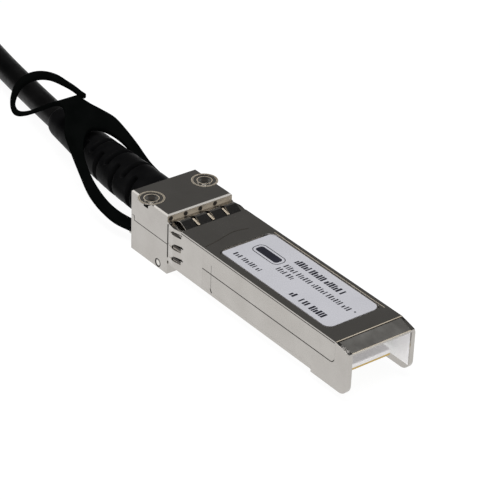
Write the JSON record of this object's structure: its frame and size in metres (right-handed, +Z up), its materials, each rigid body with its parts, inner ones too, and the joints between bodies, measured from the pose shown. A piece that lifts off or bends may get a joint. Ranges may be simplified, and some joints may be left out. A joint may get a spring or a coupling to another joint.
{
  "type": "direct attach copper cable",
  "caption": "Twin-axial copper network cable with a latching metal plug, pull tab and slotted strain relief boot at each end.",
  "frame": {"origin": "on the floor under the middle of the near plug and its pull tab", "axes": "+X from the pull tab to the plug's nose, +Y to the plug's right seen from its nose, +Z up through the plug's label"},
  "size_m": [0.2086, 0.088, 0.0349],
  "materials": {
    "nickel_shell": "satin nickel plate on die-cast zinc",
    "spring_steel": "smooth stainless spring sheet",
    "label_foil": "silver-grey polyester film with plain printed bars",
    "screw_steel": "bright plated steel",
    "circuit_board": "green solder mask",
    "contact_gold": "gold plate",
    "chip_black": "moulded black",
    "capacitor_ceramic": "fired ceramic",
    "pair_foil": "foil wrap",
    "shroud_resin": "cast resin",
    "ferrule_copper": "drawn, plain",
    "boot_rubber": "satin moulded",
    "cord_jacket": "satin extruded jacket",
    "latch_steel": "pressed, plated",
    "tab_nylon": "fine-grained moulded",
    "tie_hook_loop": "woven hook and loop"
  },
  "bodies": {
    "cable": {"lower_shell": "nickel_shell", "upper_shell": "nickel_shell", "emi_collar": "spring_steel", "label": "label_foil", "cover_screw_left": "screw_steel", "cover_screw_right": "screw_steel", "paddle_card": "circuit_board", "card_contacts": "contact_gold", "eeprom_chip": "chip_black", "coupling_capacitors": "capacitor_ceramic", "twinax_pair_left": "pair_foil", "twinax_pair_right": "pair_foil", "solder_shroud": "shroud_resin", "crimp_ferrule": "ferrule_copper", "strain_relief_boot": "boot_rubber", "slider_spring_left": "spring_steel", "slider_spring_right": "spring_steel", "lever_pin": "screw_steel", "lever_spring": "spring_steel", "far_lower_shell": "nickel_shell", "far_upper_shell": "nickel_shell", "far_emi_collar": "spring_steel", "far_label": "label_foil", "far_cover_screw_left": "screw_steel", "far_cover_screw_right": "screw_steel", "far_paddle_card": "circuit_board", "far_card_contacts": "contact_gold", "far_eeprom_chip": "chip_black", "far_coupling_capacitors": "capacitor_ceramic", "far_twinax_pair_left": "pair_foil", "far_twinax_pair_right": "pair_foil", "far_solder_shroud": "shroud_resin", "far_crimp_ferrule": "ferrule_copper", "far_strain_relief_boot": "boot_rubber", "far_slider_spring_left": "spring_steel", "far_slider_spring_right": "spring_steel", "far_lever_pin": "screw_steel", "far_lever_spring": "spring_steel", "cable_tube": "cord_jacket", "far_cable_tube": "cord_jacket", "cable_coil": "cord_jacket", "coil_ties": "tie_hook_loop"},
    "latch_slide_body": {"latch_slider": "latch_steel", "pull_tab": "tab_nylon"},
    "latch_lever_body": {"latch_lever": "latch_steel"},
    "far_latch_slide_body": {"far_latch_slider": "latch_steel", "far_pull_tab": "tab_nylon"},
    "far_latch_lever_body": {"far_latch_lever": "latch_steel"}
  },
  "joints": [
    {"name": "latch_slide", "type": "slide", "parent": "cable", "child": "latch_slide_body", "axis": [-1, 0, 0], "range_m": [0, 0.0022], "stiffness_N_per_m": 1000, "springref_m": -0.004, "deforming": ["slider_spring_left", "slider_spring_right"]},
    {"name": "latch_pivot", "type": "hinge", "parent": "cable", "child": "latch_lever_body", "pos_m": [-0.00026, 0, 0.00092], "axis": [0, -1, 0], "range_deg": [0, 7], "deforming": ["lever_spring"]},
    {"name": "far_latch_slide", "type": "slide", "parent": "cable", "child": "far_latch_slide_body", "axis": [-0.9994, -0.0349, 0], "range_m": [0, 0.0022], "stiffness_N_per_m": 1000, "springref_m": -0.004, "deforming": ["far_slider_spring_left", "far_slider_spring_right"]},
    {"name": "far_latch_pivot", "type": "hinge", "parent": "cable", "child": "far_latch_lever_body", "pos_m": [-0.05363, -0.05649, 0.00092], "axis": [0.0349, -0.9994, 0], "range_deg": [0, 7], "deforming": ["far_lever_spring"]}
  ],
  "couplings": [
    {"joint": "latch_pivot", "follows": "latch_slide", "rad_per_m": 55.533},
    {"joint": "far_latch_pivot", "follows": "far_latch_slide", "rad_per_m": 55.533}
  ]
}
